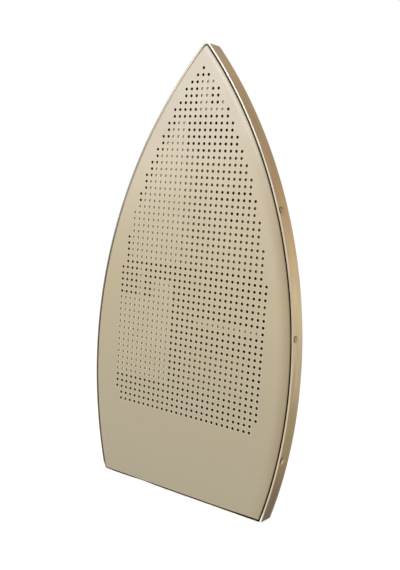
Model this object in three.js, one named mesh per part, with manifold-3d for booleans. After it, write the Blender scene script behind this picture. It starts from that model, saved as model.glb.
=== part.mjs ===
// Perforated non-stick shoe that clips under the soleplate of a laundry steam iron.
// Millimetres, +Z up. The shoe stands on its flat heel with the toe up: +X runs across the
// sole, +Z from heel to toe, and the pressing face of the sole looks along -Y.
// The origin is the middle of the heel, on the surface that the shoe stands on.

import * as THREE from 'three';
import { mergeVertices } from 'three/addons/utils/BufferGeometryUtils.js';
import Module from 'manifold-3d';

const wasm = await Module();
wasm.setup();

// ---- driving dimensions ----------------------------------------------------------------

const HALF_WIDTH = 63;          // outer face of the frame at its widest
const SIDE_RADIUS = 234;        // each long side is one arc
const WIDEST_Z = 69.7;          // height of the widest place above the heel
const TIP_RADIUS = 3;           // outer bend of the frame round the toe
const CORNER_RADIUS = 1.6;      // outer bend of the frame at the two heel corners
const LEAST_CORNER_RADIUS = 0.6; // tightest inner bend at a heel corner, and at the toe
const LEAST_TIP_RADIUS = 0.4;
const OVERALL_DEPTH = 15;       // pressing face to the back of the spring anchors

const LIP_DEPTH = 1.2;          // the sole stands this much proud of the frame's front lip
const FRAME_BACK = 10;          // back edge of the frame, from the pressing face
const FRAME_WALL = 0.8;
const EDGE_BREAK = 0.25;        // filed off the two corners of the frame's front edge
const SEAM_X = 5;               // where the two ends of the frame strip meet on the heel
const SEAM_GAP = 0.4;

const SOLE_INSET = 1.3;         // outer face of the sole's upturned edge
const SOLE_SHEET = 0.6;
const SOLE_EDGE_RADIUS = 2.5;
const SOLE_BACK = 7;

const PLATE_INSET = 3.5;
const PLATE_FRONT = 0.9;
const PLATE_SHEET = 0.8;

const STRIP_INSET = 2.2;
const STRIP_SHEET = 1;
const STRIP_FRONT = 2;
const STRIP_BACK = 8.5;
const STRIP_LOW_Z = 20;
const STRIP_HIGH_Z = 165;

const HOOD_INSET = 1.1;
const HOOD_FRONT = 8.2;
const HOOD_SHEET = 1;
const HOOD_LOW_Z = 190;
const HOOD_HOLLOW = 12;         // how far the hood's rear edge curves in

const SPLICE_HALF_LENGTH = 14;
const SPLICE_FRONT = 3;
const SPLICE_BACK = 8;
const SPLICE_SHEET = 0.8;
const SPLICE_CLEARANCE = 0.3;   // between the splice and the sole's upturned edge

const RIVET_RADIUS = 0.9;
const RIVET_HOLE_RADIUS = 1.2;
const RIVET_HEAD_RADIUS = 1.6;
const RIVET_HEAD_HEIGHT = 0.45;
const RIVET_SEAT_GAP = 0.1;
const SIDE_RIVET_DEPTH = 4;
const SIDE_RIVET_Z = [33.1, 92.5, 151.3];
const HEEL_RIVET_DEPTH = 5.2;
const HEEL_RIVET_SPREAD = 9;
const DRILL_LENGTH = 24;
const DRILL_SIDES = 16;

const ANCHOR_INSET = 3.5;
const ANCHOR_SHEET = 0.8;
const ANCHOR_HOLE_RADIUS = 1.7;
const ANCHOR_HOLE_DROP = 9.5;   // spring hole below the rivet that holds the anchor
const ANCHOR_HALF_HEIGHT = 4;   // of the tongue round the rivet
const ANCHOR_AHEAD = 1.4;       // the tongue's front and back edges, from the rivet
const ANCHOR_BEHIND = 3.2;
const ANCHOR_SHOULDER = 5;      // where the back edge starts to slope, below the rivet
const SWING_DEPTH = 12;         // depth of the axis that the springs and the bail swing on

const SPRING_X = 55;
const SPRING_RADIUS = 2.5;
const SPRING_WIRE_RADIUS = 0.5;
const SPRING_PITCH = 1.6;
const SPRING_TURNS = 18;
const SPRING_LOW_Z = 48.5;
const SPRING_LOOP_RADIUS = 2.4;

const BAIL_WIRE_RADIUS = 1;
const BAIL_Z = 24;              // height of the straight cross wire
const BAIL_BEND_RADIUS = 9;
const BAIL_EYE_Z = 41.5;
const BAIL_EYE_RADIUS = 2.9;
const BAIL_EYE_HOLE = 1.5;
const BAIL_EYE_THICKNESS = 1.6;

const TAB_HALF_WIDTH = 8;
const TAB_LOOP_RADIUS = 2.6;
const TAB_THICKNESS = 2.4;
const TAB_LOW_Z = 5;
const TAB_RIVET_Z = 17.5;

const group = new THREE.Group();

// ---- colours ---------------------------------------------------------------------------

const finish = (color, roughness, metalness) => ({ color, roughness, metalness });
const NON_STICK = finish(0xb9ac8e, 0.6, 0);
const BRIGHT_ALUMINIUM = finish(0xcdc4b2, 0.4, 0.9);
const DULL_ALUMINIUM = finish(0xa8a499, 0.5, 0.9);
const ZINC_STEEL = finish(0x9c9c98, 0.4, 0.9);
const SPRING_STEEL = finish(0x77777a, 0.3, 1);
const LEATHER = finish(0x7a4f2c, 0.8, 0);

function addPiece(name, geometry, look) {
  const mesh = new THREE.Mesh(geometry, new THREE.MeshStandardMaterial(look));
  mesh.name = name;
  group.add(mesh);
  return mesh;
}

// Depths are counted from the pressing face towards the back of the shoe.
const depthToY = (depth) => depth - OVERALL_DEPTH / 2;

// ---- outline ---------------------------------------------------------------------------

function arcPoints(cx, cz, radius, start, end, steps) {
  const points = [];
  for (let i = 0; i <= steps; i += 1) {
    const angle = start + ((end - start) * i) / steps;
    points.push([cx + radius * Math.cos(angle), cz + radius * Math.sin(angle)]);
  }
  return points;
}

const SIDE_CENTRE_X = HALF_WIDTH - SIDE_RADIUS;

// The outline moved inwards by `inset`: heel line, corner, side arc, toe, and back down the
// other side, anticlockwise from the seam in the heel.
function outline(inset) {
  const side = SIDE_RADIUS - inset;
  const corner = Math.max(CORNER_RADIUS - inset, LEAST_CORNER_RADIUS);
  const tip = Math.max(TIP_RADIUS - inset, LEAST_TIP_RADIUS);
  const cornerZ = inset + corner;
  const cornerX = SIDE_CENTRE_X + Math.sqrt((side - corner) ** 2 - (WIDEST_Z - cornerZ) ** 2);
  const tipZ = WIDEST_Z + Math.sqrt((side - tip) ** 2 - SIDE_CENTRE_X ** 2);
  const low = Math.atan2(cornerZ - WIDEST_Z, cornerX - SIDE_CENTRE_X);
  const high = Math.atan2(tipZ - WIDEST_Z, -SIDE_CENTRE_X);
  return [
    [SEAM_X + SEAM_GAP / 2, inset],
    ...arcPoints(cornerX, cornerZ, corner, -Math.PI / 2, low, 5),
    ...arcPoints(SIDE_CENTRE_X, WIDEST_Z, side, low, high, 22).slice(1),
    ...arcPoints(0, tipZ, tip, high, Math.PI - high, 6).slice(1),
    ...arcPoints(-SIDE_CENTRE_X, WIDEST_Z, side, Math.PI - high, Math.PI - low, 22).slice(1),
    ...arcPoints(-cornerX, cornerZ, corner, Math.PI - low, (3 * Math.PI) / 2, 5).slice(1),
    [SEAM_X - SEAM_GAP / 2, inset],
  ];
}

// A place on the right-hand side wall at height z, `inset` inwards, and its outward normal.
function sideSpot(z, inset) {
  const angle = Math.asin((z - WIDEST_Z) / SIDE_RADIUS);
  const radius = SIDE_RADIUS - inset;
  return {
    x: SIDE_CENTRE_X + radius * Math.cos(angle),
    z: WIDEST_Z + radius * Math.sin(angle),
    angle,
  };
}

// ---- solids ----------------------------------------------------------------------------

function geometryFrom(positions, triangles) {
  const geometry = new THREE.BufferGeometry();
  geometry.setAttribute('position', new THREE.Float32BufferAttribute(positions.flat(), 3));
  geometry.setIndex(triangles.flat());
  geometry.computeVertexNormals();
  return geometry;
}

const flatVector = ([x, y]) => new THREE.Vector2(x, y);

// A dish: rings of the outline joined one to the next, from the front cap to the back cap.
function dish(rings) {
  const loops = rings.map(([inset, depth]) =>
    outline(inset).map(([x, z]) => [x, depthToY(depth), z]));
  const count = loops[0].length;
  const triangles = [];
  for (let ring = 0; ring < loops.length - 1; ring += 1) {
    for (let i = 0; i < count; i += 1) {
      const next = (i + 1) % count;
      const [a, b] = [ring * count + i, ring * count + next];
      const [c, d] = [a + count, b + count];
      triangles.push([a, d, b], [a, c, d]);
    }
  }
  const cap = (ring) => THREE.ShapeUtils.triangulateShape(
    loops[ring].map(([x, , z]) => new THREE.Vector2(x, z)), []);
  const last = loops.length - 1;
  cap(0).forEach(([a, b, c]) => triangles.push([a, b, c]));
  cap(last).forEach(([a, b, c]) => triangles.push([c, b, a].map((i) => i + last * count)));
  return outward(geometryFrom(loops.flat(), triangles));
}

// A strip: one closed section, given as [inset, depth] pairs, run along open lines that
// `lineAt` gives for each inset.
function strip(section, lineAt) {
  const lines = section.map(([inset]) => lineAt(inset));
  const sides = section.length;
  const stations = lines[0].length;
  const positions = [];
  for (let s = 0; s < stations; s += 1) {
    section.forEach(([, depth], k) => {
      positions.push([lines[k][s][0], depthToY(depth), lines[k][s][1]]);
    });
  }
  const triangles = [];
  for (let s = 0; s < stations - 1; s += 1) {
    for (let k = 0; k < sides; k += 1) {
      const next = (k + 1) % sides;
      const [a, b] = [s * sides + k, s * sides + next];
      const [c, d] = [a + sides, b + sides];
      triangles.push([a, b, d], [a, d, c]);
    }
  }
  const end = (stations - 1) * sides;
  THREE.ShapeUtils.triangulateShape(section.map(flatVector), []).forEach(([a, b, c]) => {
    triangles.push([c, b, a], [a + end, b + end, c + end]);
  });
  return outward(geometryFrom(positions, triangles));
}

// Turns a closed geometry the right way out when its signed volume is negative.
function outward(geometry) {
  const place = geometry.attributes.position;
  const index = geometry.index;
  const corner = (i) => new THREE.Vector3().fromBufferAttribute(place, index.getX(i));
  let volume = 0;
  for (let i = 0; i < index.count; i += 3) {
    volume += corner(i).dot(corner(i + 1).cross(corner(i + 2)));
  }
  if (volume < 0) {
    for (let i = 0; i < index.count; i += 3) {
      const second = index.getX(i + 1);
      index.setX(i + 1, index.getX(i + 2));
      index.setX(i + 2, second);
    }
  }
  return geometry;
}

function toManifold(geometry) {
  const bare = geometry.clone();
  bare.deleteAttribute('normal');
  bare.deleteAttribute('uv');
  const merged = mergeVertices(bare, 1e-4);
  return new wasm.Manifold(new wasm.Mesh({
    numProp: 3,
    vertProperties: new Float32Array(merged.attributes.position.array),
    triVerts: new Uint32Array(merged.index.array),
  }));
}

function fromManifold(solid) {
  const mesh = solid.getMesh();
  const geometry = new THREE.BufferGeometry();
  geometry.setAttribute('position', new THREE.BufferAttribute(mesh.vertProperties, 3));
  geometry.setIndex(new THREE.BufferAttribute(mesh.triVerts, 1));
  geometry.computeVertexNormals();
  return geometry;
}

function cut(geometry, tools) {
  return fromManifold(tools.reduce(
    (solid, tool) => solid.subtract(toManifold(tool)), toManifold(geometry)));
}

function join(geometries) {
  return fromManifold(geometries.map(toManifold).reduce((a, b) => a.add(b)));
}

// Moves a tool or a rivet that is made along +Y so that its axis is a side wall's outward
// normal at height z, or straight down through the heel.
function toSide(geometry, z, hand, inset, depth) {
  const spot = sideSpot(z, inset);
  const turned = geometry.clone().rotateZ(-Math.PI / 2).rotateY(-spot.angle);
  turned.translate(spot.x, depthToY(depth), spot.z);
  return hand > 0 ? turned : turned.rotateZ(Math.PI).translate(0, 2 * depthToY(depth), 0);
}

function toHeel(geometry, x, z, depth) {
  return geometry.clone().rotateX(-Math.PI / 2).translate(x, depthToY(depth), z);
}

const HANDS = [['left', -1], ['right', 1]];
const rivetDrill = new THREE.CylinderGeometry(
  RIVET_HOLE_RADIUS, RIVET_HOLE_RADIUS, DRILL_LENGTH, DRILL_SIDES);
const sideDrills = HANDS.flatMap(([, hand]) =>
  SIDE_RIVET_Z.map((z) => toSide(rivetDrill, z, hand, 0, SIDE_RIVET_DEPTH)));
const heelRivetX = [-1, 1].map((side) => SEAM_X + side * HEEL_RIVET_SPREAD);
const heelDrills = heelRivetX.map((x) => toHeel(rivetDrill, x, 0, HEEL_RIVET_DEPTH));

// ---- sole: non-stick sheet pressed into a shallow dish with a rounded edge ---------------

function soleGeometry() {
  const rings = [];
  const steps = 4;
  for (let i = 0; i <= steps; i += 1) {
    const turn = (Math.PI / 2) * (i / steps);
    rings.push([
      SOLE_INSET + SOLE_EDGE_RADIUS * (1 - Math.sin(turn)),
      SOLE_EDGE_RADIUS * (1 - Math.cos(turn)),
    ]);
  }
  rings.push([SOLE_INSET, SOLE_BACK], [SOLE_INSET + SOLE_SHEET, SOLE_BACK]);
  const inner = SOLE_EDGE_RADIUS - SOLE_SHEET;
  for (let i = steps; i >= 0; i -= 1) {
    const turn = (Math.PI / 2) * (i / steps);
    rings.push([
      SOLE_INSET + SOLE_SHEET + inner * (1 - Math.sin(turn)),
      SOLE_SHEET + inner * (1 - Math.cos(turn)),
    ]);
  }
  return cut(dish(rings), [...sideDrills, ...heelDrills]);
}

addPiece('sole', soleGeometry(), NON_STICK);

// ---- heat plate: flat aluminium sheet behind the sole ------------------------------------

addPiece('heat_plate', dish([
  [PLATE_INSET, PLATE_FRONT],
  [PLATE_INSET, PLATE_FRONT + PLATE_SHEET],
]), DULL_ALUMINIUM);

// ---- frame: aluminium strip bent round the outline, its ends meeting on the heel ---------

const frameSection = [
  [0, LIP_DEPTH + EDGE_BREAK],
  [EDGE_BREAK, LIP_DEPTH],
  [FRAME_WALL - EDGE_BREAK, LIP_DEPTH],
  [FRAME_WALL, LIP_DEPTH + EDGE_BREAK],
  [FRAME_WALL, FRAME_BACK],
  [0, FRAME_BACK],
];
addPiece('frame', cut(strip(frameSection, outline), [...sideDrills, ...heelDrills]),
  BRIGHT_ALUMINIUM);

// ---- clamp strips: one inside each long side, riveted through the sole's edge ------------

function clampStripGeometry(hand) {
  const section = [
    [STRIP_INSET, STRIP_FRONT],
    [STRIP_INSET + STRIP_SHEET, STRIP_FRONT],
    [STRIP_INSET + STRIP_SHEET, STRIP_BACK],
    [STRIP_INSET, STRIP_BACK],
  ];
  const line = (inset) => {
    const points = [];
    for (let i = 0; i <= 20; i += 1) {
      const spot = sideSpot(STRIP_LOW_Z + ((STRIP_HIGH_Z - STRIP_LOW_Z) * i) / 20, inset);
      points.push([hand * spot.x, spot.z]);
    }
    return points;
  };
  return cut(strip(section, line), sideDrills);
}

HANDS.forEach(([side, hand]) =>
  addPiece(`clamp_strip_${side}`, clampStripGeometry(hand), DULL_ALUMINIUM));

// ---- toe hood: flat plate across the toe that keeps the iron's nose down -----------------

// Stands a flat shape, drawn in X and Z, up with its back at `back` depth.
function plateGeometry(shape, front, back) {
  const geometry = new THREE.ExtrudeGeometry(shape, {
    depth: back - front,
    bevelEnabled: false,
    curveSegments: 12,
  });
  return geometry.rotateX(Math.PI / 2).translate(0, depthToY(back), 0);
}

function hoodGeometry() {
  const rim = outline(HOOD_INSET).filter(([, z]) => z > HOOD_LOW_Z).map(flatVector);
  const first = rim[0];
  const shape = new THREE.Shape(rim);
  shape.quadraticCurveTo(0, HOOD_LOW_Z + HOOD_HOLLOW, first.x, first.y);
  return plateGeometry(shape, HOOD_FRONT, HOOD_FRONT + HOOD_SHEET);
}

addPiece('toe_hood', hoodGeometry(), BRIGHT_ALUMINIUM);

// ---- heel splice: short plate inside the heel that joins the two ends of the frame --------

const spliceLow = SOLE_INSET + SOLE_SHEET + SPLICE_CLEARANCE;
const spliceShape = new THREE.Shape([
  [SEAM_X - SPLICE_HALF_LENGTH, spliceLow],
  [SEAM_X + SPLICE_HALF_LENGTH, spliceLow],
  [SEAM_X + SPLICE_HALF_LENGTH, spliceLow + SPLICE_SHEET],
  [SEAM_X - SPLICE_HALF_LENGTH, spliceLow + SPLICE_SHEET],
].map(flatVector));
addPiece('heel_splice', cut(plateGeometry(spliceShape, SPLICE_FRONT, SPLICE_BACK), heelDrills),
  DULL_ALUMINIUM);

// ---- rivets ------------------------------------------------------------------------------

// A rivet along +Y whose stack of sheets runs from y = -stack to y = 0. The outer head is
// domed, or flush with the outer face where the rivet is countersunk.
function rivetGeometry(stack, domed) {
  const tail = -stack - RIVET_SEAT_GAP;
  const profile = [
    [0, tail - RIVET_HEAD_HEIGHT],
    [RIVET_HEAD_RADIUS * 0.7, tail - RIVET_HEAD_HEIGHT],
    [RIVET_HEAD_RADIUS, tail - 0.1],
    [RIVET_HEAD_RADIUS, tail],
    [RIVET_RADIUS, tail],
  ];
  if (domed) {
    profile.push(
      [RIVET_RADIUS, RIVET_SEAT_GAP],
      [RIVET_HEAD_RADIUS, RIVET_SEAT_GAP],
      [RIVET_HEAD_RADIUS * 0.85, RIVET_HEAD_HEIGHT * 0.7],
      [RIVET_HEAD_RADIUS * 0.5, RIVET_HEAD_HEIGHT * 0.95],
      [0, RIVET_HEAD_HEIGHT],
    );
  } else {
    profile.push([RIVET_RADIUS, -0.1], [0, -0.1]);
  }
  return new THREE.LatheGeometry(profile.map(flatVector), 16);
}

const stripStack = STRIP_INSET + STRIP_SHEET;
const anchorStack = ANCHOR_INSET + ANCHOR_SHEET;
HANDS.forEach(([side, hand]) => SIDE_RIVET_Z.forEach((z, i) => {
  const rivet = rivetGeometry(i === 1 ? anchorStack : stripStack, true);
  addPiece(`side_rivet_${side}_${i + 1}`, toSide(rivet, z, hand, 0, SIDE_RIVET_DEPTH),
    ZINC_STEEL);
}));
heelRivetX.forEach((x, i) => {
  const rivet = rivetGeometry(spliceLow + SPLICE_SHEET, false);
  addPiece(`heel_rivet_${i + 1}`, toHeel(rivet, x, 0, HEEL_RIVET_DEPTH), ZINC_STEEL);
});

// ---- spring anchors: steel ears held by the middle pair of side rivets -------------------

const anchorRivetZ = SIDE_RIVET_Z[1];
const anchorSpot = sideSpot(anchorRivetZ, ANCHOR_INSET + ANCHOR_SHEET / 2);
const anchorHole = {
  x: anchorSpot.x + ANCHOR_HOLE_DROP * Math.sin(anchorSpot.angle),
  z: anchorSpot.z - ANCHOR_HOLE_DROP * Math.cos(anchorSpot.angle),
};

// The ear is drawn flat: across is the depth counted from the rivet, up is along the wall.
function anchorGeometry(hand) {
  const back = OVERALL_DEPTH - SIDE_RIVET_DEPTH;
  const holeAcross = SWING_DEPTH - SIDE_RIVET_DEPTH;
  const ear = OVERALL_DEPTH - SWING_DEPTH;
  const shape = new THREE.Shape();
  shape.moveTo(-ANCHOR_AHEAD, -ANCHOR_HALF_HEIGHT);
  shape.lineTo(holeAcross - ear, -ANCHOR_HOLE_DROP);
  shape.absarc(holeAcross, -ANCHOR_HOLE_DROP, ear, Math.PI, 2 * Math.PI, false);
  shape.lineTo(back, -ANCHOR_SHOULDER);
  shape.lineTo(ANCHOR_BEHIND, ANCHOR_HALF_HEIGHT);
  shape.lineTo(-ANCHOR_AHEAD, ANCHOR_HALF_HEIGHT);
  shape.closePath();
  const hole = new THREE.Path();
  hole.absarc(holeAcross, -ANCHOR_HOLE_DROP, ANCHOR_HOLE_RADIUS, 0, 2 * Math.PI, true);
  shape.holes.push(hole);
  const flat = new THREE.ExtrudeGeometry(shape, {
    depth: ANCHOR_SHEET,
    bevelEnabled: false,
    curveSegments: 8,
  });
  // Drawn X becomes +Y, drawn Y becomes +Z and the sheet's thickness becomes +X.
  flat.translate(0, 0, -ANCHOR_SHEET / 2).rotateX(Math.PI / 2).rotateZ(Math.PI / 2);
  flat.rotateY(-anchorSpot.angle);
  flat.translate(anchorSpot.x, depthToY(SIDE_RIVET_DEPTH), anchorSpot.z);
  const bored = cut(flat, [toSide(rivetDrill, anchorRivetZ, 1, 0, SIDE_RIVET_DEPTH)]);
  return hand > 0 ? bored : outward(bored.scale(-1, 1, 1));
}

HANDS.forEach(([side, hand]) =>
  addPiece(`spring_anchor_${side}`, anchorGeometry(hand), ZINC_STEEL));

// ---- heel springs: close-wound wire with a loop below and a hook through the anchor -------

function roundShape(radius, sides) {
  const shape = new THREE.Shape();
  for (let i = 0; i < sides; i += 1) {
    const angle = (2 * Math.PI * i) / sides;
    const [x, y] = [radius * Math.cos(angle), radius * Math.sin(angle)];
    if (i === 0) {
      shape.moveTo(x, y);
    } else {
      shape.lineTo(x, y);
    }
  }
  return shape.closePath();
}

function wireAlong(points, radius, sides, steps) {
  const path = new THREE.CatmullRomCurve3(points, false, 'centripetal');
  return new THREE.ExtrudeGeometry(roundShape(radius, sides), {
    steps,
    bevelEnabled: false,
    extrudePath: path,
  });
}

function springGeometry(hand) {
  const points = [];
  const add = (x, depth, z) => points.push(new THREE.Vector3(x, depthToY(depth), z));
  const loopZ = BAIL_EYE_Z + 0.5 + SPRING_LOOP_RADIUS;
  for (let i = 0; i <= 10; i += 1) {
    const angle = Math.PI * (0.62 + (1.78 * i) / 10);
    add(SPRING_X + SPRING_LOOP_RADIUS * Math.cos(angle), SWING_DEPTH,
      loopZ + SPRING_LOOP_RADIUS * Math.sin(angle));
  }
  const perTurn = 10;
  for (let i = 0; i <= SPRING_TURNS * perTurn; i += 1) {
    const angle = (2 * Math.PI * i) / perTurn;
    add(SPRING_X + SPRING_RADIUS * Math.cos(angle), SWING_DEPTH + SPRING_RADIUS * Math.sin(angle),
      SPRING_LOW_Z + (SPRING_PITCH * i) / perTurn);
  }
  const top = SPRING_LOW_Z + SPRING_PITCH * SPRING_TURNS;
  add(SPRING_X + 1, SWING_DEPTH + 1, top + 1.2);
  add(SPRING_X + 0.5, SWING_DEPTH, (top + anchorHole.z) / 2 + 0.6);
  add(anchorHole.x - 2, SWING_DEPTH, anchorHole.z - 0.1);
  add(anchorHole.x, SWING_DEPTH, anchorHole.z + 0.3);
  add(anchorHole.x + 1.6, SWING_DEPTH, anchorHole.z - 0.6);
  add(anchorHole.x + 1.9, SWING_DEPTH, anchorHole.z - 2.6);
  const wire = wireAlong(points, SPRING_WIRE_RADIUS, 6, 230);
  return hand > 0 ? wire : mirrored(wire);
}

// The same piece for the left-hand side, still the right way out.
function mirrored(geometry) {
  const bare = geometry.clone();
  bare.deleteAttribute('normal');
  bare.deleteAttribute('uv');
  return outward(mergeVertices(bare, 1e-4).scale(-1, 1, 1));
}

HANDS.forEach(([side, hand]) =>
  addPiece(`heel_spring_${side}`, springGeometry(hand), SPRING_STEEL));

// ---- heel bail: bent wire that is pulled back over the heel of the iron ------------------

function bailGeometry() {
  const bendX = SPRING_X - BAIL_BEND_RADIUS;
  const bendZ = BAIL_Z + BAIL_BEND_RADIUS;
  const half = [[SPRING_X, BAIL_EYE_Z - BAIL_EYE_RADIUS + 0.6]];
  arcPoints(bendX, bendZ, BAIL_BEND_RADIUS, 0, -Math.PI / 2, 8).forEach((p) => half.push(p));
  half.push([bendX * 0.6, BAIL_Z], [bendX * 0.2, BAIL_Z]);
  const outlinePoints = [...half, ...half.map(([x, z]) => [-x, z]).reverse()];
  const points = outlinePoints.map(([x, z]) =>
    new THREE.Vector3(x, depthToY(SWING_DEPTH), z));
  const wire = wireAlong(points, BAIL_WIRE_RADIUS, 10, 60);
  const disc = new THREE.CylinderGeometry(BAIL_EYE_RADIUS, BAIL_EYE_RADIUS,
    BAIL_EYE_THICKNESS, 24).rotateZ(Math.PI / 2);
  const drill = new THREE.CylinderGeometry(BAIL_EYE_HOLE, BAIL_EYE_HOLE, 8, 20)
    .rotateZ(Math.PI / 2);
  const atEyes = (tool) => [-1, 1].map((hand) =>
    tool.clone().translate(hand * SPRING_X, depthToY(SWING_DEPTH), BAIL_EYE_Z));
  return cut(join([wire, ...atEyes(disc)]), atEyes(drill));
}

addPiece('heel_bail', bailGeometry(), SPRING_STEEL);

// ---- pull tab: strap folded round the cross wire and riveted to itself -------------------

const tabRivetDrill = new THREE.CylinderGeometry(
  RIVET_HOLE_RADIUS, RIVET_HOLE_RADIUS, DRILL_LENGTH / 2, DRILL_SIDES)
  .translate(0, depthToY(SWING_DEPTH), TAB_RIVET_Z);

function tabGeometry() {
  const half = TAB_THICKNESS / 2;
  const meet = Math.asin(half / TAB_LOOP_RADIUS);
  const shape = new THREE.Shape();
  shape.absarc(0, 0, TAB_LOOP_RADIUS, -Math.PI / 2 + meet, (3 * Math.PI) / 2 - meet, false);
  shape.lineTo(-half, TAB_LOW_Z - BAIL_Z);
  shape.lineTo(half, TAB_LOW_Z - BAIL_Z);
  shape.closePath();
  const eye = new THREE.Path();
  eye.absarc(0, 0, BAIL_WIRE_RADIUS + 0.3, 0, 2 * Math.PI, true);
  shape.holes.push(eye);
  const strap = new THREE.ExtrudeGeometry(shape, {
    depth: 2 * TAB_HALF_WIDTH,
    bevelEnabled: false,
    curveSegments: 16,
  });
  // Drawn X becomes +Y, drawn Y becomes +Z and the strap's width becomes +X.
  strap.translate(0, 0, -TAB_HALF_WIDTH).rotateX(Math.PI / 2).rotateZ(Math.PI / 2);
  strap.translate(0, depthToY(SWING_DEPTH), BAIL_Z);
  return cut(strap, [tabRivetDrill]);
}

addPiece('pull_tab', tabGeometry(), LEATHER);
addPiece('tab_rivet', rivetGeometry(TAB_THICKNESS, true)
  .translate(0, depthToY(SWING_DEPTH) + TAB_THICKNESS / 2, TAB_RIVET_Z), ZINC_STEEL);

export default group;
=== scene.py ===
# Steam iron shoe: a perforated non-stick sole in a bent aluminium frame, held on the iron
# by a toe hood and by a wire bail on two springs. Lengths in the sections are millimetres.

from math import asin, atan2, copysign, cos, exp, hypot, pi, radians, sin, sqrt

import bmesh
import bpy
from mathutils import Matrix, Vector
from mathutils.geometry import delaunay_2d_cdt


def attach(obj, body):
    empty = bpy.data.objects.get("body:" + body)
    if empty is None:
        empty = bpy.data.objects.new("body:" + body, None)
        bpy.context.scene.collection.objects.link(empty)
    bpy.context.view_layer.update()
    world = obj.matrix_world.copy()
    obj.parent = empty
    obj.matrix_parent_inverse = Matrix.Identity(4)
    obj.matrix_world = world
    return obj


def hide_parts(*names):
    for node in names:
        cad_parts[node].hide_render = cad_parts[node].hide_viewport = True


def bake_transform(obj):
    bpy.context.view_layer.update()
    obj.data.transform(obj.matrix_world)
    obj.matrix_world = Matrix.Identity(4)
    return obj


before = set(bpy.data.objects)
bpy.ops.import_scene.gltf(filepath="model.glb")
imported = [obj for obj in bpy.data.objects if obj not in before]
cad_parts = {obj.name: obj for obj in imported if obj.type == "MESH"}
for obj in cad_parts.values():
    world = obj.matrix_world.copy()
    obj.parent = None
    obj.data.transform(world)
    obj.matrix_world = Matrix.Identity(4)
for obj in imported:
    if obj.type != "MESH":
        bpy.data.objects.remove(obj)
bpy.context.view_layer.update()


# ---- Sole ----
# Thin aluminium sheet pressed into a shallow dish with a rolled edge, punched with a square
# grid of steam holes, then sprayed with a champagne-coloured non-stick coat.

MM = 0.001
HALF_WIDTH = 63
SIDE_RADIUS = 234
WIDEST_Z = 69.7
SIDE_CENTRE_X = HALF_WIDTH - SIDE_RADIUS
TIP_RADIUS = 3
CORNER_RADIUS = 1.6
SEAM_X = 5
OVERALL_DEPTH = 15
SIDE_STEPS = 150
LEAST_CORNER_RADIUS = 0.6
LEAST_TIP_RADIUS = 0.4

HOLE_PITCH = 3.25
HOLE_RADIUS = 0.77
HOLE_RIM = 0.08
HOLE_SIDES = 16
FIELD_TOP_Z = 216.0
FIELD_ROWS = 54
FIELD_HALF_COUNT = 14.85
FIELD_CURVE = 66.5
FIELD_WIDEST_ROW = 40.7
FIELD_OFF_CENTRE = 0.4

SOLE_INSET = 1.3
SOLE_SHEET = 0.6
SOLE_EDGE_RADIUS = 2.5
SOLE_BACK = 7
SOLE_CROWN = 0.22
CROWN_START = 9.5
GROOVE_DEPTH = 1.5
HUG = 0.3


def arc_points(cx, cz, radius, start, end, steps):
    angles = [start + (end - start) * i / steps for i in range(steps + 1)]
    return [(cx + radius * cos(a), cz + radius * sin(a)) for a in angles]


def turns(count):
    """Angles in equal steps, once round."""
    return [2 * pi * i / count for i in range(count)]


def clamp(value, low=0.0, high=1.0):
    return min(max(value, low), high)


def straight(start, end, steps):
    return [tuple(a + (b - a) * i / steps for a, b in zip(start, end)) for i in range(steps + 1)]


def outline(inset, seam_gap=0.0):
    """The shoe's outline moved inwards, anticlockwise from the seam in the heel."""
    side = SIDE_RADIUS - inset
    corner = max(CORNER_RADIUS - inset, LEAST_CORNER_RADIUS)
    tip = max(TIP_RADIUS - inset, LEAST_TIP_RADIUS)
    corner_z = inset + corner
    corner_x = SIDE_CENTRE_X + sqrt((side - corner) ** 2 - (WIDEST_Z - corner_z) ** 2)
    tip_z = WIDEST_Z + sqrt((side - tip) ** 2 - SIDE_CENTRE_X ** 2)
    low = atan2(corner_z - WIDEST_Z, corner_x - SIDE_CENTRE_X)
    high = atan2(tip_z - WIDEST_Z, -SIDE_CENTRE_X)
    right_end, left_end = SEAM_X + seam_gap / 2, SEAM_X - seam_gap / 2
    points = straight((right_end, inset), (corner_x, inset), 40)
    points += arc_points(corner_x, corner_z, corner, -pi / 2, low, 10)[1:]
    points += arc_points(SIDE_CENTRE_X, WIDEST_Z, side, low, high, SIDE_STEPS)[1:]
    points += arc_points(0, tip_z, tip, high, pi - high, 14)[1:]
    points += arc_points(-SIDE_CENTRE_X, WIDEST_Z, side, pi - high, pi - low,
                         SIDE_STEPS)[1:]
    points += arc_points(-corner_x, corner_z, corner, pi - low, 1.5 * pi, 10)[1:]
    points += straight((-corner_x, inset), (left_end, inset), 45)[1:]
    return points


def side_inset(x, z):
    """How far a place lies inside the nearer long side."""
    return SIDE_RADIUS - hypot(abs(x) - SIDE_CENTRE_X, z - WIDEST_Z)


def inset_at(x, z):
    return min(side_inset(x, z), z)


def depth_to_y(depth):
    return depth - OVERALL_DEPTH / 2


def make_piece(name, points, faces, sharp_angle=35):
    """A piece from points in millimetres, smooth except at creases."""
    mesh = bpy.data.meshes.new(name)
    mesh.from_pydata([tuple(c * MM for c in p) for p in points], [], faces)
    shape = bmesh.new()
    shape.from_mesh(mesh)
    bmesh.ops.recalc_face_normals(shape, faces=shape.faces)
    shape.to_mesh(mesh)
    shape.free()
    mesh.shade_smooth()
    mesh.set_sharp_from_angle(angle=radians(sharp_angle))
    piece = bpy.data.objects.new(name, mesh)
    bpy.context.scene.collection.objects.link(piece)
    return piece


def row_half_count(row):
    """Holes on each side of the middle one, in a row counted from the toe."""
    rise = row - FIELD_WIDEST_ROW
    return int(FIELD_HALF_COUNT - FIELD_CURVE + sqrt(FIELD_CURVE ** 2 - rise ** 2))


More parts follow.
